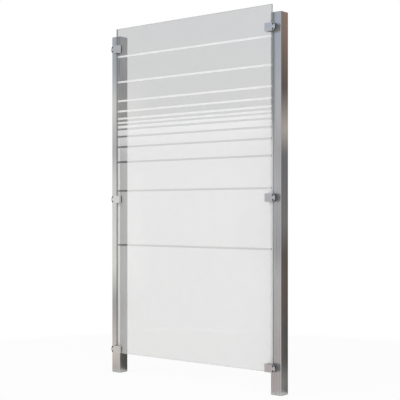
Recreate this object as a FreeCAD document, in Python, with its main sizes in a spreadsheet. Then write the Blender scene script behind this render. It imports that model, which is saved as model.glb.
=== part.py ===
"""Glass screen panel: one etched pane, held in front of two square posts by six clamps.

The frame has +Z up and X along the panel. The pane is on the -Y side of the posts, and the
origin is at ground level in the middle of the panel's own box.
"""

import FreeCAD
import Part
import Sketcher
import os

# Driving sizes in millimetres, and angles in degrees, under the names of their sheet cells.
SIZES = {
    # posts of square tube, standing on open lower ends
    "post_side": 60,
    "post_wall": 2,
    "post_inner_radius": 1,
    "post_gap": 1006,
    "post_height": 1832,
    # flat caps pushed into the upper ends of the posts
    "cap_thickness": 3,
    "cap_skirt_depth": 18,
    "cap_skirt_wall": 2,
    "cap_clearance": 0.3,
    # pane of toughened glass
    "glass_thickness": 8,
    "glass_rise": 38,
    "glass_clearance": 110,
    "glass_arris": 1,
    # etched pattern on the back of the pane, counted downwards from its top edge
    "etch_depth": 0.2,
    "etch_overrun": 5,
    "line_width": 10,
    "clear_band_1": 146,
    "clear_band_2": 128,
    "clear_band_3": 93,
    "clear_band_4": 46,
    "clear_band_5": 30,
    "clear_band_6": 13,
    "frosted_band_1": 15,
    "frosted_band_2": 30,
    "frosted_band_3": 46,
    "frosted_band_4": 72,
    "frosted_band_5": 146,
    "frosted_band_6": 283,
    # clamps: a base on the post, a cover over it, and the pane between rubber pads
    "clamp_height": 40,
    "top_clamp_drop": 73,
    "glass_bite": 34,
    "glass_edge_gap": 2,
    "block_straight": 6,
    "base_thickness": 3,
    "cover_thickness": 13,
    "cover_chamfer": 1,
    "pad_thickness": 1,
    "pad_margin": 1,
    # holes for two socket screws through the cover and the base, into threads in the post's wall
    "screw_thread": 5,
    "screw_hole": 5.5,
    "head_bore": 9,
    "head_bore_depth": 6.5,
    "screw_edge_distance": 6.3,
    "screw_angle": 59,
}

CLEAR_BANDS = 6
FROSTED_BANDS = 6

# Sizes and places that follow from the driving ones, as expressions.
POST_CENTRE = "((sizes.post_gap + sizes.post_side) / 2)"
TUBE_LENGTH = "(sizes.post_height - sizes.cap_thickness)"
TUBE_BORE = "(sizes.post_side - 2 * sizes.post_wall)"
POST_RADIUS = "(sizes.post_inner_radius + sizes.post_wall)"
GLASS_TOP = "(sizes.post_height + sizes.glass_rise)"
GLASS_HEIGHT = f"({GLASS_TOP} - sizes.glass_clearance)"

# Depths in front of the post's face.
GLASS_BACK = "(sizes.base_thickness + sizes.pad_thickness)"
GLASS_FRONT = f"({GLASS_BACK} + sizes.glass_thickness)"
COVER_BACK = f"({GLASS_FRONT} + sizes.pad_thickness)"
CLAMP_DEPTH = f"({COVER_BACK} + sizes.cover_thickness)"
POST_FACE = f"(({CLAMP_DEPTH} - sizes.post_side) / 2)"

# Places along a clamp, from its square end on the glass to its round end on the post.
BLOCK_START = "(sizes.glass_bite + sizes.glass_edge_gap)"
END_CENTRE = f"({BLOCK_START} + sizes.block_straight)"
SCREW_CIRCLE = "(sizes.clamp_height / 2 - sizes.screw_edge_distance)"
SCREW_X = f"({END_CENTRE} + {SCREW_CIRCLE} * cos(sizes.screw_angle))"
SCREW_Z = f"({SCREW_CIRCLE} * sin(sizes.screw_angle))"
SCREW_PAIR = (SCREW_Z, f"-{SCREW_Z}")

CLAMP_START = f"({POST_CENTRE} - {SCREW_X})"
GLASS_WIDTH = f"(2 * ({CLAMP_START} + sizes.glass_bite))"
PAD_END = "(sizes.glass_bite - sizes.pad_margin)"
PAD_HALF_HEIGHT = "(sizes.clamp_height / 2 - sizes.pad_margin)"

TOP_LEVEL = "(sizes.post_height - sizes.top_clamp_drop)"
BOTTOM_LEVEL = "(sizes.glass_clearance + sizes.clamp_height / 2)"
LEVELS = {
    "top": TOP_LEVEL,
    "middle": f"(({TOP_LEVEL} + {BOTTOM_LEVEL}) / 2)",
    "bottom": BOTTOM_LEVEL,
}
SIDES = {"left": -1, "right": 1}

# Sketcher's own numbers for the origin and for the points of a curve.
ORIGIN_INDEX = -1
START_INDEX, END_INDEX, CENTRE_INDEX = 1, 2, 3

FRONT_VIEW = "XZ_Plane"
PLAN_VIEW = "XY_Plane"


def make_sheet(doc):
    """Writes the driving sizes to a sheet, one named cell each."""
    sheet = doc.addObject("Spreadsheet::Sheet", "sizes")
    for row, (name, value) in enumerate(SIZES.items(), start=1):
        sheet.set(f"A{row}", name.replace("_", " "))
        sheet.set(f"B{row}", str(value))
        sheet.setAlias(f"B{row}", name)
    doc.recompute()


def new_body(doc, label, x="0", y="0", z="0", half_turn=False):
    """Body placed by expressions, turned half round the depth axis if asked."""
    body = doc.addObject("PartDesign::Body", label)
    body.Label = label
    if half_turn:
        turn = FreeCAD.Rotation(FreeCAD.Vector(0, 1, 0), 180)
        body.Placement = FreeCAD.Placement(FreeCAD.Vector(), turn)
    for axis, expression in (("x", x), ("y", y), ("z", z)):
        body.setExpression(f"Placement.Base.{axis}", expression)
    return body


def new_sketch(body, name, plane, offset="0", shift="0"):
    """Sketch on one of the body's own planes, offset along its normal and shifted along its x."""
    sketch = body.newObject("Sketcher::SketchObject", name)
    support = next(item for item in body.Origin.OriginFeatures if item.Role == plane)
    sketch.AttachmentSupport = (support, [""])
    sketch.MapMode = "FlatFace"
    sketch.setExpression("AttachmentOffset.Base.z", offset)
    sketch.setExpression("AttachmentOffset.Base.x", shift)
    return sketch


def constrain(sketch, kind, expression, *elements):
    """Adds a constraint whose value follows an expression."""
    value = float(sketch.evalExpression(expression))
    index = sketch.addConstraint(Sketcher.Constraint(kind, *elements, value))
    sketch.setExpression(f"Constraints[{index}]", expression)


def place_point(sketch, curve, point, x, y):
    """Ties a point of a curve to its distances from the sketch's origin."""
    constrain(sketch, "DistanceX", x, ORIGIN_INDEX, START_INDEX, curve, point)
    constrain(sketch, "DistanceY", y, ORIGIN_INDEX, START_INDEX, curve, point)


def at(sketch, x, y):
    """Point at the present values of two expressions."""
    return FreeCAD.Vector(sketch.evalExpression(x), sketch.evalExpression(y), 0)


def add_polygon(sketch, corners):
    """Closed outline of straight lines between corners given as pairs of expressions."""
    points = [at(sketch, x, y) for x, y in corners]
    first = sketch.GeometryCount
    for start, end in zip(points, points[1:] + points[:1]):
        sketch.addGeometry(Part.LineSegment(start, end))
    for index, (x, y) in enumerate(corners):
        line = first + index
        following = first + (index + 1) % len(corners)
        sketch.addConstraint(Sketcher.Constraint("Coincident", line, END_INDEX, following, START_INDEX))
        place_point(sketch, line, START_INDEX, x, y)


def add_rectangle(sketch, left, right, bottom, top):
    """Upright rectangle between four expressions."""
    add_polygon(sketch, [(left, bottom), (right, bottom), (right, top), (left, top)])


def add_circle(sketch, x, y, diameter):
    """Circle about a centre."""
    radius = sketch.evalExpression(f"({diameter}) / 2")
    circle = sketch.addGeometry(Part.Circle(at(sketch, x, y), FreeCAD.Vector(0, 0, 1), radius))
    place_point(sketch, circle, CENTRE_INDEX, x, y)
    constrain(sketch, "Diameter", diameter, circle)


def add_arc(sketch, x, y, radius, first_angle, last_angle):
    """Arc about a centre, with its ends left free for its neighbours."""
    circle = Part.Circle(at(sketch, x, y), FreeCAD.Vector(0, 0, 1), sketch.evalExpression(radius))
    turn = [FreeCAD.Units.parseQuantity(f"{angle} deg").getValueAs("rad").Value
            for angle in (first_angle, last_angle)]
    arc = sketch.addGeometry(Part.ArcOfCircle(circle, *turn))
    place_point(sketch, arc, CENTRE_INDEX, x, y)
    constrain(sketch, "Radius", radius, arc)
    return arc


def add_tangent_line(sketch, before, after):
    """Straight run from the end of one arc to the start of the next."""
    ends = sketch.Geometry[before].EndPoint, sketch.Geometry[after].StartPoint
    line = sketch.addGeometry(Part.LineSegment(*ends))
    sketch.addConstraint(Sketcher.Constraint("Tangent", before, END_INDEX, line, START_INDEX))
    sketch.addConstraint(Sketcher.Constraint("Tangent", line, END_INDEX, after, START_INDEX))


def add_rounded_square(sketch, side, radius):
    """Square about the origin with round corners."""
    reach = f"(({side}) / 2 - ({radius}))"
    corners = ((f"-{reach}", f"-{reach}", 180), (reach, f"-{reach}", 270),
               (reach, reach, 0), (f"-{reach}", reach, 90))
    arcs = [add_arc(sketch, x, y, radius, angle, angle + 90) for x, y, angle in corners]
    for before, after in zip(arcs, arcs[1:] + arcs[:1]):
        add_tangent_line(sketch, before, after)


def add_clamp_outline(sketch, start):
    """D-shaped outline from a square end at start to the clamp's half-round end."""
    half = "(sizes.clamp_height / 2)"
    arc = add_arc(sketch, END_CENTRE, "0", half, -90, 90)
    upper = sketch.Geometry[arc].EndPoint
    lower = sketch.Geometry[arc].StartPoint
    corners = at(sketch, start, half), at(sketch, start, f"-{half}")
    top = sketch.addGeometry(Part.LineSegment(upper, corners[0]))
    square_end = sketch.addGeometry(Part.LineSegment(*corners))
    bottom = sketch.addGeometry(Part.LineSegment(corners[1], lower))
    sketch.addConstraint(Sketcher.Constraint("Tangent", arc, END_INDEX, top, START_INDEX))
    sketch.addConstraint(Sketcher.Constraint("Coincident", top, END_INDEX, square_end, START_INDEX))
    sketch.addConstraint(Sketcher.Constraint("Coincident", square_end, END_INDEX, bottom, START_INDEX))
    sketch.addConstraint(Sketcher.Constraint("Tangent", bottom, END_INDEX, arc, START_INDEX))
    place_point(sketch, square_end, START_INDEX, start, half)
    sketch.addConstraint(Sketcher.Constraint("Vertical", square_end))


def pad(body, sketch, length, backwards=False):
    """Extrudes a sketch along its normal, or against it."""
    feature = body.newObject("PartDesign::Pad", f"{sketch.Name}_pad")
    feature.Profile = sketch
    feature.Reversed = backwards
    feature.setExpression("Length", length)
    return feature


def pocket(body, sketch, depth, along_normal=False):
    """Cuts a sketch against its normal, or along it."""
    feature = body.newObject("PartDesign::Pocket", f"{sketch.Name}_pocket")
    feature.Profile = sketch
    feature.Reversed = along_normal
    feature.setExpression("Length", depth)
    return feature


def drill(body, sketch, diameter, bore=None, bore_depth=None):
    """Through holes at the sketch's circles, with a counterbore if one is given."""
    body.Document.recompute()
    hole = body.newObject("PartDesign::Hole", f"{sketch.Name}_hole")
    hole.Profile = sketch
    hole.DepthType = "ThroughAll"
    hole.setExpression("Diameter", diameter)
    if bore:
        hole.HoleCutType = "Counterbore"
        hole.HoleCutCustomValues = True
        hole.setExpression("HoleCutDiameter", bore)
        hole.setExpression("HoleCutDepth", bore_depth)


def chamfer_flat_faces(body, feature, size, facing):
    """Chamfers the edges of the feature's flat faces whose normals meet a test of their y part."""
    body.Document.recompute()
    faces = [f"Face{number}" for number, face in enumerate(feature.Shape.Faces, start=1)
             if facing(face.normalAt(0, 0).y)]
    chamfer = body.newObject("PartDesign::Chamfer", f"{feature.Name}_chamfer")
    chamfer.Base = (feature, faces)
    chamfer.setExpression("Size", size)


def make_post(doc, side):
    """Square tube with a pair of threaded holes for each clamp in its front wall."""
    x = f"{SIDES[side]} * {POST_CENTRE}"
    y = f"{POST_FACE} + sizes.post_side / 2"
    body = new_body(doc, f"post_{side}", x, y)
    section = new_sketch(body, "tube_section", PLAN_VIEW)
    add_rounded_square(section, "sizes.post_side", POST_RADIUS)
    add_rounded_square(section, TUBE_BORE, "sizes.post_inner_radius")
    pad(body, section, TUBE_LENGTH)
    holes = new_sketch(body, "screw_holes", FRONT_VIEW)
    for level in LEVELS.values():
        for z in SCREW_PAIR:
            add_circle(holes, "0", f"{level} + {z}", "sizes.screw_thread")
    pocket(body, holes, "sizes.post_side / 2", along_normal=True)


def make_post_cap(doc, side):
    """Flat cap on the tube's end, with a hollow skirt inside the tube."""
    x = f"{SIDES[side]} * {POST_CENTRE}"
    y = f"{POST_FACE} + sizes.post_side / 2"
    body = new_body(doc, f"post_cap_{side}", x, y, TUBE_LENGTH)
    plate = new_sketch(body, "cap_plate", PLAN_VIEW)
    add_rounded_square(plate, "sizes.post_side", POST_RADIUS)
    pad(body, plate, "sizes.cap_thickness")
    skirt = new_sketch(body, "cap_skirt", PLAN_VIEW)
    skirt_side = f"({TUBE_BORE} - 2 * sizes.cap_clearance)"
    add_rounded_square(skirt, skirt_side, "sizes.post_inner_radius")
    add_rounded_square(skirt, f"({skirt_side} - 2 * sizes.cap_skirt_wall)", "sizes.post_inner_radius")
    pad(body, skirt, "sizes.cap_skirt_depth", backwards=True)


def frosted_stripes():
    """Top and bottom of each frosted stripe, as expressions counted down from the pane's top edge."""
    stripes = []
    reached = "0"
    for number in range(1, CLEAR_BANDS + 1):
        top = f"{reached} + sizes.clear_band_{number}"
        reached = f"{top} + sizes.line_width"
        stripes.append((top, reached))
    for number in range(1, FROSTED_BANDS + 1):
        top = f"{reached} + sizes.line_width"
        reached = f"{top} + sizes.frosted_band_{number}"
        stripes.append((top, reached))
    stripes.append((f"{reached} + sizes.line_width", f"{GLASS_HEIGHT} + sizes.etch_overrun"))
    return stripes


def make_pane(doc):
    """Pane with arrissed edges, etched stripes, and plain glass left where the back pads press."""
    half_width = f"({GLASS_WIDTH} / 2)"
    body = new_body(doc, "glass_pane", y=f"{POST_FACE} - {GLASS_BACK}", z=GLASS_TOP)
    outline = new_sketch(body, "pane_outline", FRONT_VIEW)
    add_rectangle(outline, f"-{half_width}", half_width, f"-{GLASS_HEIGHT}", "0")
    blank = pad(body, outline, "sizes.glass_thickness")
    chamfer_flat_faces(body, blank, "sizes.glass_arris", lambda y: abs(y) > 0.5)

    etch = new_sketch(body, "etched_stripes", FRONT_VIEW)
    edge = f"({half_width} + sizes.etch_overrun)"
    for top, bottom in frosted_stripes():
        add_rectangle(etch, f"-{edge}", edge, f"-({bottom})", f"-({top})")
    pocket(body, etch, "sizes.etch_depth", along_normal=True)

    lands = new_sketch(body, "clamp_lands", FRONT_VIEW, "sizes.etch_depth")
    inner = f"({CLAMP_START} + sizes.pad_margin)"
    outer = f"({CLAMP_START} + {PAD_END})"
    for level in LEVELS.values():
        top = f"{level} - {GLASS_TOP} + {PAD_HALF_HEIGHT}"
        bottom = f"{level} - {GLASS_TOP} - {PAD_HALF_HEIGHT}"
        add_rectangle(lands, inner, outer, bottom, top)
        add_rectangle(lands, f"-{outer}", f"-{inner}", bottom, top)
    pad(body, lands, "sizes.etch_depth", backwards=True)


def new_clamp_body(doc, piece, side, level):
    """Body for a clamp's piece: x runs from the glass to the post, from the post's front face."""
    x = f"{SIDES[side]} * {CLAMP_START}"
    label = f"{piece}_{side}_{level}"
    return new_body(doc, label, x, POST_FACE, LEVELS[level], half_turn=side == "left")


def make_clamp_base(doc, side, level):
    """Plate on the post with a raised block at its round end, which carries the cover."""
    body = new_clamp_body(doc, "clamp_base", side, level)
    plate = new_sketch(body, "base_plate", FRONT_VIEW)
    add_clamp_outline(plate, "0")
    pad(body, plate, "sizes.base_thickness")
    block = new_sketch(body, "base_block", FRONT_VIEW, "sizes.base_thickness")
    add_clamp_outline(block, BLOCK_START)
    pad(body, block, f"{COVER_BACK} - sizes.base_thickness")
    holes = new_sketch(body, "base_holes", FRONT_VIEW, COVER_BACK)
    for z in SCREW_PAIR:
        add_circle(holes, SCREW_X, z, "sizes.screw_hole")
    drill(body, holes, "sizes.screw_hole")


def make_clamp_cover(doc, side, level):
    """Front plate with a chamfered outline and counterbored holes for its screws."""
    body = new_clamp_body(doc, "clamp_cover", side, level)
    plate = new_sketch(body, "cover_plate", FRONT_VIEW, COVER_BACK)
    add_clamp_outline(plate, "0")
    blank = pad(body, plate, "sizes.cover_thickness")
    chamfer_flat_faces(body, blank, "sizes.cover_chamfer", lambda y: y < -0.5)
    holes = new_sketch(body, "cover_holes", FRONT_VIEW, CLAMP_DEPTH)
    for z in SCREW_PAIR:
        add_circle(holes, SCREW_X, z, "sizes.screw_hole")
    drill(body, holes, "sizes.screw_hole", "sizes.head_bore", "sizes.head_bore_depth")


def make_clamp_pad(doc, side, level, face, offset):
    """Rubber pad between one face of the pane and the clamp."""
    body = new_clamp_body(doc, f"clamp_pad_{face}", side, level)
    sheet = new_sketch(body, "pad_outline", FRONT_VIEW, offset)
    add_rectangle(sheet, "sizes.pad_margin", PAD_END, f"-{PAD_HALF_HEIGHT}", PAD_HALF_HEIGHT)
    pad(body, sheet, "sizes.pad_thickness")


def make_clamp(doc, side, level):
    """One clamp with its two rubber pads."""
    make_clamp_base(doc, side, level)
    make_clamp_cover(doc, side, level)
    make_clamp_pad(doc, side, level, "back", "sizes.base_thickness")
    make_clamp_pad(doc, side, level, "front", GLASS_FRONT)


def check_model(doc, bodies):
    """Stops if any object failed or any body is empty or invalid."""
    failed = [item.Label for item in doc.Objects if {"Invalid", "Error"} & set(item.State)]
    broken = [body.Label for body in bodies if body.Shape.isNull() or not body.Shape.isValid()]
    if failed or broken:
        raise RuntimeError(f"failed objects: {failed}, broken shapes: {broken}")


def main():
    """Builds the document and writes each body to its own file."""
    doc = FreeCAD.newDocument("glass_screen_panel")
    make_sheet(doc)
    make_pane(doc)
    for side in SIDES:
        make_post(doc, side)
        make_post_cap(doc, side)
        for level in LEVELS:
            make_clamp(doc, side, level)
    doc.recompute()
    bodies = [item for item in doc.Objects if item.TypeId == "PartDesign::Body"]
    check_model(doc, bodies)
    os.makedirs("parts", exist_ok=True)
    for body in bodies:
        body.Shape.exportStep(f"parts/{body.Label}.step")


main()
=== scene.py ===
"""Dresses the glass screen panel: finishes for its solids, clamp screws, light and camera."""

import logging
import math
from dataclasses import dataclass
from enum import Enum

import bpy
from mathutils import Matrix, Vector


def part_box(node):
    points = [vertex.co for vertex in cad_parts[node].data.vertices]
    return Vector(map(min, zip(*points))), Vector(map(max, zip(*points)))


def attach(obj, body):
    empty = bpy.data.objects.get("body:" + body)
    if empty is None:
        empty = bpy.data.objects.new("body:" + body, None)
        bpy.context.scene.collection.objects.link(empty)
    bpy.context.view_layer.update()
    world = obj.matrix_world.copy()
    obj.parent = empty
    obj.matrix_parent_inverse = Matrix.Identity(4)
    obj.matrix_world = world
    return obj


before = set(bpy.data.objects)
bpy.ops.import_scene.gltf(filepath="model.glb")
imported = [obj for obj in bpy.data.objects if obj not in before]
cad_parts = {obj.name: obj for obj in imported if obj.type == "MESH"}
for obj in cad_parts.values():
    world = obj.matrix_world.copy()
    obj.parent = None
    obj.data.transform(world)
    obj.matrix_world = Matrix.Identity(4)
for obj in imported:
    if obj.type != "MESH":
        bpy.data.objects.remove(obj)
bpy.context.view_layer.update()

log = logging.getLogger("glass_screen_panel")

Colour = tuple[float, float, float]
Place = tuple[float, float, float]
Span = tuple[float, float]
Stops = tuple[tuple[float, Colour], ...]
Socket = bpy.types.NodeSocket
Input = float | tuple[float, ...] | Socket

BODY = "root"
WHITE: Colour = (1.0, 1.0, 1.0)
PAD_GREY: Colour = (0.45, 0.45, 0.44)
# Most values of a noise texture lie in this range.
NOISE_RANGE: Span = (0.3, 0.7)
# How many finer layers the noise of small spots and of broad clouds has.
FINE_DETAIL = 3.0
BROAD_DETAIL = 2.0
# How steeply a plain face mirrors more as it is seen at a slant.
SLANT_POWER = 5.0
# Points less than this apart lie at one depth.
TOUCH = 1e-6


class Side(Enum):
    """The two posts of the panel."""

    LEFT = "left"
    RIGHT = "right"


class Level(Enum):
    """The three heights at which a post carries a clamp."""

    TOP = "top"
    MIDDLE = "middle"
    BOTTOM = "bottom"


class Grain(Enum):
    """Directions in which steel is brushed, as the stretch of the grain along x, y and z."""

    UPRIGHT = (1.0, 1.0, 0.004)
    LEVEL = (0.012, 1.0, 1.0)


def rgba(colour: Colour) -> tuple[float, float, float, float]:
    """A colour with full alpha."""
    return (*colour, 1.0)


class Graph:
    """Adds and joins the nodes of one node tree."""

    def __init__(self, tree: bpy.types.NodeTree) -> None:
        """Empties a node tree and keeps it.

        Args:
            tree: The tree that the nodes go into.
        """
        tree.nodes.clear()
        self.tree = tree

    def feed(self, socket: Socket, value: Input) -> None:
        """Links a socket to an output, or sets it to a plain value.

        Args:
            socket: The input that is fed.
            value: An output socket, a number or a colour.
        """
        if isinstance(value, Socket):
            self.tree.links.new(value, socket)
        else:
            socket.default_value = value

    def add(
        self, kind: str, inputs: dict[str | int, Input] | None = None, **settings: object,
    ) -> bpy.types.Node:
        """Adds a node.

        Args:
            kind: The node's type, without its common prefix.
            inputs: What feeds its inputs, by name or number.
            **settings: Properties of the node itself.

        Returns:
            The new node.
        """
        node = self.tree.nodes.new(f"ShaderNode{kind}")
        for name, value in settings.items():
            setattr(node, name, value)
        for key, value in (inputs or {}).items():
            self.feed(node.inputs[key], value)
        return node

    def maths(self, operation: str, first: Input, second: Input = 0.0, third: Input = 0.0) -> Socket:
        """The result of a Math node.

        Args:
            operation: The node's operation.
            first: Its first value.
            second: Its second value.
            third: Its third value, where the operation has one.

        Returns:
            The node's output.
        """
        return self.add("Math", {0: first, 1: second, 2: third}, operation=operation).outputs[0]

    def between(self, share: Input, start: float, end: float) -> Socket:
        """A number part of the way from one to another.

        Args:
            share: How far along it is, from 0 to 1.
            start: The number at a share of 0.
            end: The number at a share of 1.

        Returns:
            The number.
        """
        return self.maths("MULTIPLY_ADD", share, end - start, start)

    def parts(self, vector: Input) -> tuple[Socket, Socket, Socket]:
        """The x, y and z of a vector.

        Args:
            vector: The vector.

        Returns:
            Its three parts.
        """
        return tuple(self.add("SeparateXYZ", {0: vector}).outputs)

    def mix_shaders(self, share: Input, first: Input, second: Input) -> Socket:
        """Two shaders mixed by a share of the second.

        Args:
            share: How much of the second shader shows.
            first: The shader at a share of 0.
            second: The shader at a share of 1.

        Returns:
            The mixed shader.
        """
        return self.add("MixShader", {0: share, 1: first, 2: second}).outputs[0]

    def mix_colours(self, share: Input, first: Input, second: Input) -> Socket:
        """Two colours mixed by a share of the second.

        Args:
            share: How much of the second colour shows.
            first: The colour at a share of 0.
            second: The colour at a share of 1.

        Returns:
            The mixed colour.
        """
        node = self.add("Mix", data_type="RGBA")
        inputs, result = (
            [socket for socket in sockets if socket.enabled] for sockets in (node.inputs, node.outputs)
        )
        for socket, value in zip(inputs, (share, first, second)):
            self.feed(socket, value)
        return result[0]

    def shaded(self, colour: Input, value: Input) -> Socket:
        """A colour made lighter or darker.

        Args:
            colour: The colour.
            value: What its brightness is multiplied by.

        Returns:
            The shaded colour.
        """
        return self.add("HueSaturation", {"Color": colour, "Value": value}).outputs[0]

    def rise(self, value: Input, start: float, end: float) -> Socket:
        """A smooth step from 0 to 1.

        Args:
            value: The value that it follows.
            start: The value below which it is 0.
            end: The value above which it is 1.

        Returns:
            The step.
        """
        inputs = {"Value": value, "From Min": start, "From Max": end}
        return self.add("MapRange", inputs, interpolation_type="SMOOTHSTEP").outputs[0]

    def ramp(self, factor: Input, stops: Stops) -> Socket:
        """A colour that goes smoothly through several stops.

        Args:
            factor: The place on the ramp, from 0 to 1.
            stops: Places and their colours.

        Returns:
            The ramp's colour.
        """
        node = self.add("ValToRGB", {0: factor})
        elements = node.color_ramp.elements
        while len(elements) < len(stops):
            elements.new(1.0)
        for element, (place, colour) in zip(elements, stops):
            element.position = place
            element.color = rgba(colour)
        return node.outputs[0]

    def noise(self, place: Input, scale: float, detail: float) -> Socket:
        """The value of a noise texture, about 0.5.

        Args:
            place: The coordinates that it reads.
            scale: Its spots per metre.
            detail: How many finer layers it has.

        Returns:
            The noise.
        """
        return self.add("TexNoise", {"Vector": place, "Scale": scale, "Detail": detail}).outputs[0]

    def spread(self, value: Input, low: float, high: float) -> Socket:
        """A noise value spread over a range.

        Args:
            value: The noise.
            low: The result at the lower end of the noise.
            high: The result at its upper end.

        Returns:
            The spread value.
        """
        start, end = NOISE_RANGE
        inputs = {"Value": value, "From Min": start, "From Max": end, "To Min": low, "To Max": high}
        return self.add("MapRange", inputs).outputs[0]

    def sway(self, value: Input, middle: float, swing: float) -> Socket:
        """A noise value spread evenly about a middle.

        Args:
            value: The noise.
            middle: The middle of the result.
            swing: How far it goes to either side.

        Returns:
            The spread value.
        """
        return self.spread(value, middle - swing, middle + swing)

    def bump(self, height: Input, strength: float, depth: float) -> Socket:
        """A bumped normal.

        Args:
            height: The height that makes the bumps.
            strength: How strong they are.
            depth: How deep they are, in metres.

        Returns:
            The normal.
        """
        inputs = {"Height": height, "Strength": strength, "Distance": depth}
        return self.add("Bump", inputs).outputs[0]

    def seen(self) -> Socket:
        """1 for what is looked at, straight or through glass, and 0 for other light."""
        path = self.add("LightPath").outputs
        return self.maths("MAXIMUM", path["Is Camera Ray"], path["Is Transmission Ray"])

    def finish(self, shader: Input, output: str = "OutputMaterial") -> None:
        """Joins the last shader to the tree's output.

        Args:
            shader: The shader that shows.
            output: The type of the output node.
        """
        self.add(output, {"Surface": shader})


def new_material(name: str) -> tuple[bpy.types.Material, Graph]:
    """An empty node material.

    Args:
        name: The material's name.

    Returns:
        The material and the graph that fills it.
    """
    material = bpy.data.materials.new(name)
    material.use_nodes = True
    return material, Graph(material.node_tree)


def dress_node(name: str, material: bpy.types.Material) -> None:
    """Gives a CAD node its finish.

    Args:
        name: The node.
        material: The finish.
    """
    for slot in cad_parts[name].material_slots:
        slot.material = material
    log.info("dressed %s", name)


def select_only(piece: bpy.types.Object) -> None:
    """Selects one object and makes it the active one.

    Args:
        piece: The object.
    """
    bpy.ops.object.select_all(action="DESELECT")
    piece.select_set(True)
    bpy.context.view_layer.objects.active = piece


@dataclass(frozen=True)
class BrushedSteel:
    """Stainless steel with a directional grain.

    Attributes:
        name: The material's name.
        colour: The metal's mean colour.
        grain: The direction of the brush marks.
        roughness: The mean roughness.
        marks: Fine brush marks per metre across the grain.
        anisotropy: How far highlights are drawn out across the grain.
        painted_side_shade: How much of their colour the sides over the posts lose, as painted shade.
        matt_ends: How much of their mirror shine the sides lose over the pane.
        post_face: The distance of the posts from the panel's middle.
        side_turn: The parts of the normal along y between which a side turns into a front.
        broad_span: How many fine marks a broad one spans.
        clouds: Slow clouds per metre.
        fine_swing: How far the fine marks vary the colour.
        broad_swing: How far the broad marks vary it.
        cloud_swing: How far the clouds vary it.
        rough_share: How far the marks vary the roughness.
        groove_strength: How strongly the fine marks bump the surface.
        groove_depth: The depth of a fine mark.
    """

    name: str
    colour: Colour
    grain: Grain
    roughness: float
    marks: float
    anisotropy: float
    painted_side_shade: float = 0.0
    matt_ends: float = 0.0
    post_face: float = 0.0
    side_turn: Span = (0.3, 0.85)
    broad_span: float = 6.0
    clouds: float = 5.0
    fine_swing: float = 0.06
    broad_swing: float = 0.05
    cloud_swing: float = 0.03
    rough_share: float = 0.7
    groove_strength: float = 0.25
    groove_depth: float = 0.00004

    def material(self) -> bpy.types.Material:
        """Builds the finish.

        Returns:
            The material.
        """
        material, graph = new_material(self.name)
        coordinates = graph.add("TexCoord")
        place = coordinates.outputs["Object"]
        drawn = graph.add("Mapping", {"Vector": place, "Scale": self.grain.value}).outputs[0]
        fine = graph.noise(drawn, self.marks, FINE_DETAIL)
        broad = graph.noise(drawn, self.marks / self.broad_span, BROAD_DETAIL)
        cloud = graph.noise(place, self.clouds, BROAD_DETAIL)
        fine_streaks = graph.sway(fine, 0.0, self.fine_swing)
        streaks = graph.maths("ADD", fine_streaks, graph.sway(broad, 0.0, self.broad_swing))
        value = graph.maths("ADD", streaks, graph.sway(cloud, 1.0, self.cloud_swing))
        metal = 1.0
        if self.painted_side_shade or self.matt_ends:
            _, facing, _ = graph.parts(coordinates.outputs["Normal"])
            aside = graph.maths("SUBTRACT", 1.0, graph.rise(graph.maths("ABSOLUTE", facing), *self.side_turn))
            across, _, _ = graph.parts(place)
            beyond = graph.maths("GREATER_THAN", graph.maths("ABSOLUTE", across), self.post_face)
            outer = graph.maths("MULTIPLY", aside, beyond)
            inner = graph.maths("SUBTRACT", aside, outer)
            # Painted shade: the sides over the posts are darkened by painted_side_shade.
            value = graph.maths("MULTIPLY", value, graph.between(outer, 1.0, 1.0 - self.painted_side_shade))
            metal = graph.between(inner, 1.0, 1.0 - self.matt_ends)
        steel = graph.add("BsdfPrincipled", {
            "Base Color": graph.shaded(rgba(self.colour), value),
            "Metallic": metal,
            "Roughness": graph.maths("MULTIPLY_ADD", streaks, self.rough_share, self.roughness),
            "Anisotropic": self.anisotropy,
            "Normal": graph.bump(fine, self.groove_strength, self.groove_depth),
            "Tangent": graph.add("Tangent", direction_type="RADIAL", axis="Z").outputs[0],
        })
        graph.finish(steel.outputs[0])
        return material


@dataclass(frozen=True)
class ScrewSteel:
    """Near-black steel of the socket screws, with lighter flecks. The near-black is painted shade for their
    sunk heads and sockets.

    Attributes:
        name: The material's name.
        colour: The near-black colour, painted shade for the sunk heads and sockets.
        fleck_colour: The lighter colour of the flecks.
        roughness: The mean roughness.
        flecks: Flecks per metre.
        fleck_span: The noise values between which the colour goes from the near-black one to the flecks' one.
        rough_swing: How far the flecks vary the roughness.
        fleck_strength: How strongly the flecks bump the surface.
        fleck_depth: The depth of a fleck.
    """

    name: str
    colour: Colour
    fleck_colour: Colour
    roughness: float
    flecks: float = 1400.0
    fleck_span: Span = (0.58, 0.75)
    rough_swing: float = 0.06
    fleck_strength: float = 0.2
    fleck_depth: float = 0.00003

    def material(self) -> bpy.types.Material:
        """Builds the finish.

        Returns:
            The material.
        """
        material, graph = new_material(self.name)
        flecks = graph.noise(graph.add("TexCoord").outputs["Object"], self.flecks, FINE_DETAIL)
        # Painted shade: the near-black colour stands in for the shade in the sunk heads and sockets. The
        # flecks are lighter at random.
        whole, fleck_end = self.fleck_span
        steel = graph.add("BsdfPrincipled", {
            "Base Color": graph.ramp(flecks, ((whole, self.colour), (fleck_end, self.fleck_colour))),
            "Metallic": 1.0,
            "Roughness": graph.sway(flecks, self.roughness, self.rough_swing),
            "Normal": graph.bump(flecks, self.fleck_strength, self.fleck_depth),
        })
        graph.finish(steel.outputs[0])
        return material


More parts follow.
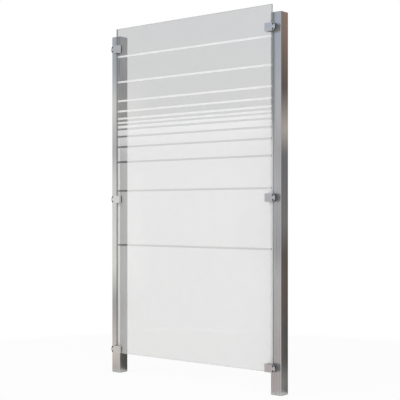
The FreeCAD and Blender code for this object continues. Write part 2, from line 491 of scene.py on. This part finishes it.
@dataclass(frozen=True)
class PadRubber:
    """Matt rubber with a fine moulded grain, which casts no shade on the glass that it touches.

    Attributes:
        name: The material's name.
        colour: The rubber's mean colour.
        roughness: The mean roughness.
        spots: Spots of the grain per metre.
        shades: What the grain multiplies the colour by, at its darkest and lightest.
        rough_swing: How far the grain varies the roughness.
        spot_strength: How strongly the grain bumps the surface.
        spot_depth: The depth of the grain.
    """

    name: str
    colour: Colour
    roughness: float
    spots: float = 2500.0
    shades: Span = (0.8, 1.25)
    rough_swing: float = 0.08
    spot_strength: float = 0.3
    spot_depth: float = 0.00005

    def material(self) -> bpy.types.Material:
        """Builds the finish.

        Returns:
            The material.
        """
        material, graph = new_material(self.name)
        grain = graph.noise(graph.add("TexCoord").outputs["Object"], self.spots, FINE_DETAIL)
        rubber = graph.add("BsdfPrincipled", {
            "Base Color": graph.shaded(rgba(self.colour), graph.spread(grain, *self.shades)),
            "Roughness": graph.sway(grain, self.roughness, self.rough_swing),
            "Normal": graph.bump(grain, self.spot_strength, self.spot_depth),
        })
        shade = graph.add("LightPath").outputs["Is Shadow Ray"]
        nothing = graph.add("BsdfTransparent").outputs[0]
        graph.finish(graph.mix_shaders(shade, rubber.outputs[0], nothing))
        return material


@dataclass(frozen=True)
class Veil:
    """How the pane looks at one height.

    Attributes:
        tint: What its plain back faces let through.
        haze: The share of its plain faces that scatters light.
        frost: The colour of its etched faces.
        share: How much of what is behind them the etched faces hide.
    """

    tint: Colour
    haze: float
    frost: Colour
    share: float


@dataclass(frozen=True)
class PadPrint:
    """Where the clamps' pads press on the pane, and what is seen of them through it.

    Attributes:
        colour: The colour of the pads.
        middle: The distance of a pad's middle from the panel's middle.
        levels: The heights of the pads' middles.
        half_width: Half the width of a pad.
        half_height: Half the height of a pad.
        roughness: The range of its roughness.
    """

    colour: Colour
    middle: float
    levels: tuple[float, ...]
    half_width: float
    half_height: float
    roughness: Span = (0.65, 0.8)

    def mask(self, graph: Graph, aside: Input, height: Input) -> Socket:
        """Where the pads press.

        Args:
            graph: The graph of the material.
            aside: The distance from the panel's middle.
            height: The height above the ground.

        Returns:
            1 on the pads and 0 elsewhere.
        """
        pressed = 0.0
        for level in self.levels:
            pressed = graph.maths("ADD", pressed, graph.maths("COMPARE", height, level, self.half_height))
        return graph.maths("MULTIPLY", pressed, graph.maths("COMPARE", aside, self.middle, self.half_width))

    def shader(self, graph: Graph, grain: Input) -> Socket:
        """The rubber behind the glass.

        Args:
            graph: The graph of the material.
            grain: The noise that roughens it.

        Returns:
            Its shader.
        """
        inputs = {"Base Color": rgba(self.colour), "Roughness": graph.spread(grain, *self.roughness)}
        return graph.add("BsdfPrincipled", inputs).outputs[0]


@dataclass(frozen=True)
class EtchedGlass:
    """Clear toughened glass with frosted recesses in its back, frosted more densely towards the top.

    Attributes:
        name: The material's name.
        back_y: The y of the plain back faces.
        middle_y: The y half-way through the pane.
        etch_depth: The depth of the etched recesses.
        half_width: Half the width of the pane.
        margin: The width of the strips along the upright edges, where the frost looks denser.
        margin_veil: How far the frost there goes towards the upper look.
        fade: The heights between which the lower veil turns into the upper one.
        lower: The look below the fade.
        upper: The look above the fade.
        front_tint: What the front face lets through.
        gloss: The share of light that a plain face mirrors straight back.
        glow: The share of the frost's light that comes through from its other side.
        painted_light_edge: The colour of the upright edges beside the frost, near white as painted light.
        clear_edge: The colour of the upright edges beside the clear glass.
        rail: The colour of the top and bottom edges.
        painted_inner_shade: The colour of an upright edge seen through the glass, dark as painted shade.
        edge_share: How much of what is behind an edge it hides.
        pads: The clamps' pads on its faces.
        margin_full: The share of the margin, from the edge, where its frost is at its densest.
        flat_from: The part of the normal along y from which a face is no edge.
        level_turn: The upward parts of the normal between which an upright edge turns into a level one.
        mirror_roughness: The roughness of the plain faces' reflections.
        frost_spots: Spots of the frost per metre.
        frost_roughness: The range of the frost's roughness.
        frost_sheen: How strongly the frost's surface shines.
        frost_strength: How strongly the spots bump the frost.
        frost_depth: The depth of the spots.
        frost_swing: How far the spots vary the frost's colour.
        clouds: Clouds of the frost per metre.
        cloud_swing: How far the clouds vary what the frost hides.
        edge_spots: Spots of the ground edges per metre.
        edge_roughness: The range of the edges' roughness.
        edge_swing: How far the spots vary the edges' colour.
    """

    name: str
    back_y: float
    middle_y: float
    etch_depth: float
    half_width: float
    margin: float
    margin_veil: float
    fade: Span
    lower: Veil
    upper: Veil
    front_tint: Colour
    gloss: float
    glow: float
    painted_light_edge: Colour
    clear_edge: Colour
    rail: Colour
    painted_inner_shade: Colour
    edge_share: float
    pads: PadPrint
    margin_full: float = 0.7
    flat_from: float = 0.9
    level_turn: Span = (0.2, 0.6)
    mirror_roughness: float = 0.02
    frost_spots: float = 1800.0
    frost_roughness: Span = (0.55, 0.7)
    frost_sheen: float = 0.3
    frost_strength: float = 0.15
    frost_depth: float = 0.00003
    frost_swing: float = 0.015
    clouds: float = 9.0
    cloud_swing: float = 0.015
    edge_spots: float = 900.0
    edge_roughness: Span = (0.2, 0.4)
    edge_swing: float = 0.1

    def scatter(self, graph: Graph, colour: Input, grain: Socket) -> Socket:
        """A satin surface that light also comes through.

        Args:
            graph: The graph of the material.
            colour: The surface's colour.
            grain: The noise that roughens it.

        Returns:
            Its shader.
        """
        satin = graph.add("BsdfPrincipled", {
            "Base Color": colour,
            "Roughness": graph.spread(grain, *self.frost_roughness),
            "Specular IOR Level": self.frost_sheen,
            "Normal": graph.bump(grain, self.frost_strength, self.frost_depth),
        }).outputs[0]
        return graph.mix_shaders(self.glow, satin, graph.add("BsdfTranslucent", {"Color": colour}).outputs[0])

    def plain(self, graph: Graph, depth: Socket, high: Socket, grain: Socket) -> Socket:
        """The plain faces.

        Args:
            graph: The graph of the material.
            depth: The y of the place.
            high: The share of the upper veil.
            grain: The noise of the haze.

        Returns:
            Their shader.
        """
        rear = graph.maths("GREATER_THAN", depth, self.middle_y)
        veil = graph.mix_colours(high, rgba(self.lower.tint), rgba(self.upper.tint))
        tint = graph.mix_colours(rear, rgba(self.front_tint), veil)
        clear = graph.add("BsdfTransparent", {"Color": tint}).outputs[0]
        haze = graph.between(high, self.lower.haze, self.upper.haze)
        through = graph.mix_shaders(haze, clear, self.scatter(graph, rgba(self.upper.frost), grain))
        mirror = {"Color": rgba(WHITE), "Roughness": self.mirror_roughness}
        slant = graph.add("LayerWeight").outputs["Facing"]
        mirrored = graph.between(graph.maths("POWER", slant, SLANT_POWER), self.gloss, 1.0)
        return graph.mix_shaders(mirrored, through, graph.add("BsdfGlossy", mirror).outputs[0])

    def frosted(self, graph: Graph, place: Socket, high: Socket, grain: Socket) -> Socket:
        """The etched faces.

        Args:
            graph: The graph of the material.
            place: Object coordinates.
            high: The share of the upper veil.
            grain: The noise of the frost.

        Returns:
            Their shader.
        """
        colour = graph.mix_colours(high, rgba(self.lower.frost), rgba(self.upper.frost))
        tint = graph.shaded(colour, graph.sway(grain, 1.0, self.frost_swing))
        cloud = graph.sway(graph.noise(place, self.clouds, BROAD_DETAIL), 0.0, self.cloud_swing)
        share = graph.maths("ADD", graph.between(high, self.lower.share, self.upper.share), cloud)
        through = graph.add("BsdfTransparent").outputs[0]
        return graph.mix_shaders(share, through, self.scatter(graph, tint, grain))

    def ground(self, graph: Graph, place: Socket, high: Socket, upward: Socket) -> Socket:
        """The ground edges and their arrises.

        Args:
            graph: The graph of the material.
            place: Object coordinates.
            high: The share of the upper veil.
            upward: The upward part of the normal.

        Returns:
            Their shader.
        """
        grain = graph.noise(place, self.edge_spots, FINE_DETAIL)
        # Painted light: beside the frost the upright edges take the near-white painted_light_edge.
        outside = graph.mix_colours(high, rgba(self.painted_light_edge), rgba(self.clear_edge))
        # Painted shade: an upright edge seen from within the glass takes the dark colour inside.
        within = graph.add("NewGeometry").outputs["Backfacing"]
        upright = graph.mix_colours(within, outside, rgba(self.painted_inner_shade))
        level = graph.rise(graph.maths("ABSOLUTE", upward), *self.level_turn)
        colour = graph.mix_colours(level, upright, rgba(self.rail))
        body = graph.add("BsdfPrincipled", {
            "Base Color": graph.shaded(colour, graph.sway(grain, 1.0, self.edge_swing)),
            "Roughness": graph.spread(grain, *self.edge_roughness),
        }).outputs[0]
        through = graph.add("BsdfTransparent", {"Color": colour}).outputs[0]
        return graph.mix_shaders(self.edge_share, through, body)

    def material(self) -> bpy.types.Material:
        """Builds the finish, with each kind of face found by its place and its normal.

        Returns:
            The material.
        """
        material, graph = new_material(self.name)
        coordinates = graph.add("TexCoord")
        place = coordinates.outputs["Object"]
        across, depth, height = graph.parts(place)
        _, forward, upward = graph.parts(coordinates.outputs["Normal"])
        aside = graph.maths("ABSOLUTE", across)
        high = graph.rise(height, *self.fade)
        grain = graph.noise(place, self.frost_spots, FINE_DETAIL)
        flat = graph.maths("GREATER_THAN", graph.maths("ABSOLUTE", forward), self.flat_from)
        etched = graph.maths("COMPARE", depth, self.back_y - self.etch_depth, self.etch_depth / 2.0)
        inner, outer = (self.half_width - self.margin * share for share in (1.0, self.margin_full))
        rim = graph.maths("MULTIPLY", graph.rise(aside, inner, outer), self.margin_veil)
        frosted = self.frosted(graph, place, graph.maths("MAXIMUM", high, rim), grain)
        faces = graph.mix_shaders(etched, self.plain(graph, depth, high, grain), frosted)
        pressed = self.pads.mask(graph, aside, height)
        faces = graph.mix_shaders(pressed, faces, self.pads.shader(graph, grain))
        graph.finish(graph.mix_shaders(flat, self.ground(graph, place, high, upward), faces))
        return material


@dataclass
class GlassPane:
    """The etched pane.

    Attributes:
        node: The pane's node.
        etch_depth: The depth of the etched recesses in its back.
    """

    node: str = "glass_pane"
    etch_depth: float = 0.0002

    def pad_print(self) -> PadPrint:
        """Where the pads press on it, from the right-hand ones.

        Returns:
            The pads' print.
        """
        boxes = [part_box(f"clamp_pad_back_right_{level.value}") for level in Level]
        first, last = boxes[0]
        return PadPrint(
            colour=PAD_GREY,
            middle=(first.x + last.x) / 2.0,
            levels=tuple((bottom.z + top.z) / 2.0 for bottom, top in boxes),
            half_width=(last.x - first.x) / 2.0,
            half_height=(last.z - first.z) / 2.0,
        )

    def dress(self) -> None:
        """Gives the pane its glass."""
        low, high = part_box(self.node)
        glass = EtchedGlass(
            name="etched_glass",
            back_y=high.y,
            middle_y=(low.y + high.y) / 2.0,
            etch_depth=self.etch_depth,
            half_width=high.x,
            margin=0.021,
            margin_veil=0.85,
            fade=(1.12, 1.42),
            lower=Veil(tint=(0.63, 0.63, 0.625), haze=0.0, frost=(0.8, 0.8, 0.8), share=0.58),
            upper=Veil(tint=(0.652, 0.65, 0.647), haze=0.065, frost=(0.99, 0.99, 0.99), share=0.96),
            front_tint=(0.97, 0.97, 0.97),
            gloss=0.06,
            glow=0.3,
            # Painted light on the upright edges beside the frost.
            painted_light_edge=(0.95, 0.97, 0.96),
            clear_edge=(0.36, 0.4, 0.385),
            rail=(0.74, 0.775, 0.76),
            # Painted shade on the upright edges seen from within the glass.
            painted_inner_shade=(0.13, 0.155, 0.145),
            edge_share=0.85,
            pads=self.pad_print(),
        )
        dress_node(self.node, glass.material())


@dataclass
class Posts:
    """The two square posts and their caps.

    Attributes:
        colour: The colour of the brushed steel.
        marks: Brush marks per metre.
    """

    colour: Colour = (0.62, 0.62, 0.615)
    marks: float = 900.0

    def dress(self) -> None:
        """Gives the tubes an upright grain and the caps a level one."""
        tube = BrushedSteel(
            name="brushed_post_steel", colour=self.colour, grain=Grain.UPRIGHT,
            roughness=0.3, marks=self.marks, anisotropy=0.7,
        ).material()
        cap = BrushedSteel(
            name="brushed_cap_steel", colour=self.colour, grain=Grain.LEVEL,
            roughness=0.32, marks=self.marks, anisotropy=0.5,
        ).material()
        for side in Side:
            dress_node(f"post_{side.value}", tube)
            dress_node(f"post_cap_{side.value}", cap)


@dataclass
class Clamps:
    """The six glass clamps and their socket screws.

    Attributes:
        colour: The colour of the satin steel.
        head_diameter: Across a screw's head.
        head_height: The height of the head.
        head_sink: How deep the head lies below the cover's face.
        head_chamfer: The bevel round the head's top.
        socket: The hexagon across its flats.
        socket_depth: The depth of the hexagon.
        key_overlap: How far the shape that cuts the hexagon stands out of the head.
        shank_diameter: Across the shank.
        shank_length: The length below the head.
        tip_chamfer: The bevel round the tip.
        pair_radius: The distance of a screw from the middle of the clamp's round end.
        pair_angle: The angle of that line above or below the level, in degrees.
        sides: Sides of the round outlines.
        bevel_steps: Steps in each bevel.
        smooth_angle: The angle in degrees up to which faces are shaded as one.
    """

    colour: Colour = (0.7, 0.7, 0.7)
    head_diameter: float = 0.0085
    head_height: float = 0.005
    head_sink: float = 0.0015
    head_chamfer: float = 0.0005
    socket: float = 0.004
    socket_depth: float = 0.003
    key_overlap: float = 0.001
    shank_diameter: float = 0.005
    shank_length: float = 0.025
    tip_chamfer: float = 0.0007
    pair_radius: float = 0.0137
    pair_angle: float = 59.0
    sides: int = 48
    bevel_steps: int = 2
    smooth_angle: float = 30.0

    def steel(self, name: str, painted_side_shade: float) -> bpy.types.Material:
        """The satin steel of the bases or the covers.

        Args:
            name: The material's name.
            painted_side_shade: How much of their colour the sides over the posts lose, as painted shade.

        Returns:
            The material.
        """
        return BrushedSteel(
            name=name, colour=self.colour, grain=Grain.LEVEL, roughness=0.42, marks=1100.0, anisotropy=0.3,
            painted_side_shade=painted_side_shade, matt_ends=0.75, post_face=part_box("post_right")[0].x,
        ).material()

    def dress(self) -> None:
        """Gives the clamps' solids their steel and rubber."""
        # Painted shade on the sides over the posts, deeper on the covers than on the bases.
        base = self.steel("satin_base_steel", painted_side_shade=0.55)
        cover = self.steel("satin_cover_steel", painted_side_shade=0.78)
        rubber = PadRubber(name="pad_rubber", colour=PAD_GREY, roughness=0.75).material()
        for side in Side:
            for level in Level:
                place = f"{side.value}_{level.value}"
                dress_node(f"clamp_base_{place}", base)
                dress_node(f"clamp_cover_{place}", cover)
                dress_node(f"clamp_pad_back_{place}", rubber)
                dress_node(f"clamp_pad_front_{place}", rubber)

    def cylinder(self, diameter: float, near: float, far: float, sides: int) -> bpy.types.Object:
        """A cylinder along y about the origin.

        Args:
            diameter: Across the circle through its corners.
            near: The y of its front end.
            far: The y of its back end.
            sides: Sides of its outline.

        Returns:
            The new object, alone selected.
        """
        bpy.ops.object.select_all(action="DESELECT")
        bpy.ops.mesh.primitive_cylinder_add(
            vertices=sides, radius=diameter / 2.0, depth=far - near,
            location=(0.0, (near + far) / 2.0, 0.0), rotation=(math.pi / 2.0, 0.0, 0.0),
        )
        bpy.ops.object.transform_apply(location=True, rotation=True, scale=True)
        return bpy.context.object

    def select_rim(self, piece: bpy.types.Object, y: float) -> None:
        """Selects the edges of a piece that lie at one depth.

        Args:
            piece: The piece, in edit mode afterwards.
            y: The depth.
        """
        bpy.ops.object.mode_set(mode="EDIT")
        bpy.ops.mesh.select_mode(type="EDGE")
        bpy.ops.mesh.select_all(action="DESELECT")
        bpy.ops.object.mode_set(mode="OBJECT")
        points = piece.data.vertices
        for edge in piece.data.edges:
            edge.select = all(abs(points[i].co.y - y) < TOUCH for i in edge.vertices)
        bpy.ops.object.mode_set(mode="EDIT")

    def screw(self) -> bpy.types.Object:
        """Models one socket screw, with the seat of its head at the origin and its tip towards +y.

        Returns:
            The screw.
        """
        screw = self.cylinder(self.head_diameter, -self.head_height, 0.0, self.sides)
        self.select_rim(screw, 0.0)
        bpy.ops.mesh.edge_face_add()
        bpy.ops.mesh.select_mode(type="FACE")
        bpy.ops.mesh.inset(thickness=(self.head_diameter - self.shank_diameter) / 2.0)
        bpy.ops.mesh.extrude_region_move(TRANSFORM_OT_translate={"value": (0.0, self.shank_length, 0.0)})
        bpy.ops.object.mode_set(mode="OBJECT")
        for y, width in ((-self.head_height, self.head_chamfer), (self.shank_length, self.tip_chamfer)):
            self.select_rim(screw, y)
            bpy.ops.mesh.bevel(offset=width, segments=self.bevel_steps, affect="EDGES")
            bpy.ops.object.mode_set(mode="OBJECT")
        self.cut_socket(screw)
        bpy.ops.object.shade_smooth_by_angle(angle=math.radians(self.smooth_angle))
        return screw

    def cut_socket(self, screw: bpy.types.Object) -> None:
        """Cuts the hexagon into a screw's head.

        Args:
            screw: The screw.
        """
        across_corners = self.socket * 2.0 / math.sqrt(3.0)
        top = -self.head_height
        key = self.cylinder(across_corners, top - self.key_overlap, top + self.socket_depth, sides=6)
        select_only(screw)
        cut = screw.modifiers.new("socket", "BOOLEAN")
        cut.operation = "DIFFERENCE"
        cut.object = key
        bpy.ops.object.modifier_apply(modifier=cut.name)
        bpy.data.objects.remove(key)

    def place_screw(self, pattern: bpy.types.Object, name: str, place: Place) -> None:
        """Puts a copy of the screw into its hole.

        Args:
            pattern: The screw that is copied.
            name: The copy's name.
            place: Where the seat of its head goes.
        """
        piece = pattern.copy()
        piece.data = pattern.data.copy()
        piece.name = name
        bpy.context.scene.collection.objects.link(piece)
        select_only(piece)
        bpy.ops.transform.translate(value=place)
        bpy.ops.object.transform_apply(location=True, rotation=True, scale=True)
        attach(piece, BODY)
        log.info("piece %s", piece.name)

    def add_screws(self) -> None:
        """Puts a pair of screws into each clamp."""
        # Near-black screws: painted shade for their sunk heads and sockets.
        steel = ScrewSteel(
            name="screw_steel", colour=(0.02, 0.02, 0.021), fleck_colour=(0.12, 0.12, 0.12), roughness=0.42,
        ).material()
        pattern = self.screw()
        pattern.data.materials.append(steel)
        offset = self.pair_radius * math.sin(math.radians(self.pair_angle))
        for side in Side:
            post_low, post_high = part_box(f"post_{side.value}")
            x = (post_low.x + post_high.x) / 2.0
            for level in Level:
                clamp = f"{side.value}_{level.value}"
                low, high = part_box(f"clamp_cover_{clamp}")
                seat = low.y + self.head_sink + self.head_height
                middle = (low.z + high.z) / 2.0
                self.place_screw(pattern, f"clamp_screw_{clamp}_upper", (x, seat, middle + offset))
                self.place_screw(pattern, f"clamp_screw_{clamp}_lower", (x, seat, middle - offset))
        bpy.data.objects.remove(pattern)


@dataclass(frozen=True)
class Lamp:
    """A square soft lamp, which reflections don't show.

    Attributes:
        name: The lamp's name.
        place: Where it stands.
        size: The length of its side.
        power: Its power in watts.
    """

    name: str
    place: Place
    size: float
    power: float

    def add(self, target: Place) -> None:
        """Puts the lamp into the scene.

        Args:
            target: What it faces.
        """
        aim = Vector(target) - Vector(self.place)
        turn = aim.to_track_quat("-Z", "Y").to_euler()
        bpy.ops.object.light_add(type="AREA", location=self.place, rotation=turn)
        lamp = bpy.context.object
        lamp.name = self.name
        lamp.data.shape = "SQUARE"
        lamp.data.size = self.size
        lamp.data.energy = self.power
        lamp.visible_glossy = False


@dataclass(frozen=True)
class Board:
    """A board that only reflections show. It gives no light and no shade.

    Attributes:
        name: The board's name.
        place: Its middle.
        size: Its length and its width.
        stops: Its colours along its length, from 0 to 1.
        heading: The direction that an upright board faces, in degrees from +x, or none if it lies flat.
        soft_from: The share of the way to its long sides at which it starts to fade out.
    """

    name: str
    place: Place
    size: Span
    stops: Stops
    heading: float | None = None
    soft_from: float = 0.4

    def add(self) -> None:
        """Puts the board into the scene, an upright one with its length upwards."""
        bpy.ops.object.select_all(action="DESELECT")
        turn = (0.0, 0.0, 0.0)
        if self.heading is not None:
            turn = (0.0, math.radians(-90.0), math.radians(self.heading))
        bpy.ops.mesh.primitive_plane_add(size=1.0, location=self.place, rotation=turn)
        board = bpy.context.object
        board.name = self.name
        board.scale = (*self.size, 1.0)
        material, graph = new_material(self.name)
        along, across, _ = graph.parts(graph.add("TexCoord").outputs["Object"])
        colour = graph.ramp(graph.maths("ADD", along, 0.5), self.stops)
        glow = graph.add("Emission", {"Color": colour, "Strength": 1.0}).outputs[0]
        fade = graph.rise(graph.maths("ABSOLUTE", across), self.soft_from / 2.0, 0.5)
        graph.finish(graph.mix_shaders(fade, glow, graph.add("BsdfTransparent").outputs[0]))
        board.data.materials.append(material)
        board.visible_camera = False
        board.visible_diffuse = False
        board.visible_transmission = False
        board.visible_shadow = False


@dataclass
class Studio:
    """Floor, light and camera.

    Attributes:
        floor_radius: The radius of the round floor.
        floor_sides: Sides of its outline.
        floor_colour: Its colour.
        floor_pale: How far it is paled to white at its middle.
        floor_fade: The radius from which it is paled further.
        floor_rim: The width of its rim that is white all over.
        ambient: The strength of the light from all round.
        target: What the lamps face.
        key: The large lamp at the front left.
        fill: The lamp at the front right.
        lens: The camera's focal length in millimetres.
        sensor: The width of its sensor in millimetres.
        turn: Its heading in degrees.
        camera_place: Where it stands.
        lift: Its vertical shift, as a share of the picture.
        sight: How far it sees.
        room_front: The colours of the room's front in reflections, from below the horizon to above it.
        room_back: The colours of its back.
        room_band: How far above and below the horizon those colours go, as the z of a direction.
        back_heading: The direction of the room's back.
        back_turn: The shares of a direction along that one between which the front turns into the back.
        board_heading: The direction that the boards face, in degrees from +x.
        board_width: The width of a board.
        board_height: The height of a board.
        ground_lift: How far the boards on the ground lie above the floor.
        ground_soft_from: The share of the way to their long sides at which they start to fade out.
    """

    floor_radius: float = 2.4
    floor_sides: int = 96
    floor_colour: Colour = (0.97, 0.97, 0.97)
    floor_pale: float = 0.9
    floor_fade: float = 0.5
    floor_rim: float = 0.05
    ambient: float = 0.65
    target: Place = (0.0, 0.0, 0.9)
    key: Lamp = Lamp("key_lamp", place=(-2.6, -5.0, 3.2), size=3.5, power=80.0)
    fill: Lamp = Lamp("fill_lamp", place=(3.5, -2.5, 2.6), size=2.5, power=48.0)
    lens: float = 88.46
    sensor: float = 36.0
    turn: float = 39.62
    camera_place: Place = (3.2459, -3.8619, 0.8756)
    lift: float = 0.0299
    sight: float = 100.0
    room_front: Stops = (
        (0.0, (0.68, 0.61, 0.59)), (0.3, (0.62, 0.6, 0.6)), (0.55, (0.76, 0.76, 0.77)),
        (1.0, (0.5, 0.56, 0.65)),
    )
    room_back: Stops = (
        (0.0, (0.3, 0.3, 0.28)), (0.28, (0.08, 0.065, 0.055)), (0.52, (0.24, 0.245, 0.25)),
        (0.9, (0.27, 0.19, 0.145)),
    )
    room_band: float = 0.2
    back_heading: Place = (0.63, 0.777, 0.0)
    back_turn: Span = (0.45, 0.8)
    board_heading: float = 50.3
    board_width: float = 0.4
    board_height: float = 1.95
    ground_lift: float = 0.002
    ground_soft_from: float = 0.95

    def add_camera(self) -> None:
        """Stands a level camera where the picture was taken from."""
        turn = (math.radians(90.0), 0.0, math.radians(self.turn))
        bpy.ops.object.camera_add(location=self.camera_place, rotation=turn)
        camera = bpy.context.object
        camera.name = "camera"
        camera.data.sensor_width = self.sensor
        camera.data.lens = self.lens
        camera.data.shift_y = self.lift
        camera.data.clip_end = self.sight
        bpy.context.scene.camera = camera

    def add_floor(self) -> None:
        """Lays a round pale floor that fades to white towards its rim."""
        bpy.ops.object.select_all(action="DESELECT")
        bpy.ops.mesh.primitive_circle_add(
            vertices=self.floor_sides, radius=self.floor_radius, fill_type="NGON",
        )
        floor = bpy.context.object
        floor.name = "floor"
        material, graph = new_material("pale_floor")
        place = graph.add("TexCoord").outputs["Object"]
        reach = graph.add("VectorMath", {0: place}, operation="LENGTH").outputs["Value"]
        fade = graph.rise(reach, self.floor_fade, self.floor_radius - self.floor_rim)
        base = graph.add("BsdfDiffuse", {"Color": rgba(self.floor_colour)}).outputs[0]
        white = graph.add("Emission", {"Color": rgba(WHITE), "Strength": 1.0}).outputs[0]
        paled = graph.maths("MULTIPLY", graph.seen(), graph.maths("MAXIMUM", fade, self.floor_pale))
        graph.finish(graph.mix_shaders(paled, base, white))
        floor.data.materials.append(material)

    def add_surroundings(self) -> None:
        """Surrounds the panel with white for the eye and a plain soft room for its reflections."""
        world = bpy.data.worlds.new("studio")
        world.use_nodes = True
        bpy.context.scene.world = world
        graph = Graph(world.node_tree)
        towards = graph.add("TexCoord").outputs["Generated"]
        _, _, height = graph.parts(towards)
        band = {"Value": height, "From Min": -self.room_band, "From Max": self.room_band}
        level = graph.add("MapRange", band).outputs[0]
        front = graph.ramp(level, self.room_front)
        back = graph.ramp(level, self.room_back)
        turned = graph.add("VectorMath", {0: towards, 1: self.back_heading}, operation="DOT_PRODUCT")
        room = graph.mix_colours(graph.rise(turned.outputs["Value"], *self.back_turn), front, back)
        mirrored, ambient, white = (
            graph.add("Background", {"Color": colour, "Strength": strength}).outputs[0]
            for colour, strength in ((room, 1.0), (rgba(WHITE), self.ambient), (rgba(WHITE), 1.0))
        )
        lit = graph.mix_shaders(graph.add("LightPath").outputs["Is Glossy Ray"], ambient, mirrored)
        graph.finish(graph.mix_shaders(graph.seen(), lit, white), "OutputWorld")

    def add_upright_boards(self) -> None:
        """Puts a narrow board where each post's front and side mirror it."""
        boards = (
            ("left_front_board", (-0.757, -0.288), (
                (0.04, (0.88, 0.8, 0.73)), (0.13, (0.66, 0.63, 0.6)), (0.18, (0.52, 0.51, 0.48)),
                (0.29, (1.18, 1.16, 1.1)), (0.55, (1.02, 1.03, 1.0)), (0.63, (0.66, 0.67, 0.67)),
                (0.77, (1.0, 1.0, 0.97)), (0.87, (0.56, 0.6, 0.65)),
            )),
            ("right_front_board", (0.309, -0.288), (
                (0.02, (0.56, 0.51, 0.5)), (0.2, (0.63, 0.6, 0.6)), (0.28, (0.62, 0.6, 0.61)),
                (0.36, (0.44, 0.43, 0.46)), (0.52, (0.62, 0.62, 0.65)), (0.61, (0.52, 0.51, 0.54)),
                (0.7, (0.7, 0.69, 0.71)), (0.92, (0.54, 0.6, 0.7)),
            )),
            ("left_side_board", (-0.311, 0.2425), (
                (0.02, (0.08, 0.08, 0.07)), (0.1, (0.11, 0.11, 0.095)), (0.6, (0.07, 0.07, 0.065)),
                (0.75, (0.36, 0.36, 0.35)), (0.83, (0.28, 0.28, 0.29)), (0.89, (0.52, 0.52, 0.53)),
                (0.97, (0.44, 0.44, 0.45)),
            )),
            ("right_side_board", (0.755, 0.2425), (
                (0.01, (0.27, 0.27, 0.25)), (0.06, (0.085, 0.085, 0.078)), (0.14, (0.085, 0.082, 0.075)),
                (0.22, (0.14, 0.105, 0.09)), (0.34, (0.13, 0.1, 0.085)), (0.42, (0.25, 0.245, 0.24)),
                (0.6, (0.19, 0.19, 0.2)), (0.665, (0.66, 0.6, 0.55)), (0.77, (0.12, 0.095, 0.085)),
                (0.97, (0.39, 0.27, 0.21)),
            )),
        )
        size = (self.board_height, self.board_width)
        for name, place, stops in boards:
            Board(name, (*place, self.board_height / 2.0), size, stops, self.board_heading).add()

    def add_ground_boards(self) -> None:
        """Lays boards on the ground, for the feet of the posts."""
        dark = ((0.0, (0.06, 0.06, 0.055)), (0.3, (0.08, 0.08, 0.07)), (0.5, (0.25, 0.25, 0.24)))
        warm = ((0.0, (0.78, 0.7, 0.66)), (0.6, (0.6, 0.54, 0.53)))
        boards = (
            ("dark_ground_board", (0.8, 0.845), (2.6, 1.6), dark),
            ("warm_ground_board", (-0.4, -0.92), (2.4, 1.75), warm),
        )
        for name, place, size, stops in boards:
            Board(name, (*place, self.ground_lift), size, stops, soft_from=self.ground_soft_from).add()

    def set_up(self) -> None:
        """Sets up the whole studio."""
        bpy.context.scene.view_settings.view_transform = "Standard"
        self.add_surroundings()
        self.add_floor()
        self.add_upright_boards()
        self.add_ground_boards()
        self.key.add(self.target)
        self.fill.add(self.target)
        self.add_camera()


def main() -> None:
    """Dresses the panel, adds its screws and sets up the studio."""
    logging.basicConfig(level=logging.INFO, format="%(name)s: %(message)s")
    GlassPane().dress()
    Posts().dress()
    clamps = Clamps()
    clamps.dress()
    clamps.add_screws()
    Studio().set_up()


if __name__ == "__main__":
    main()
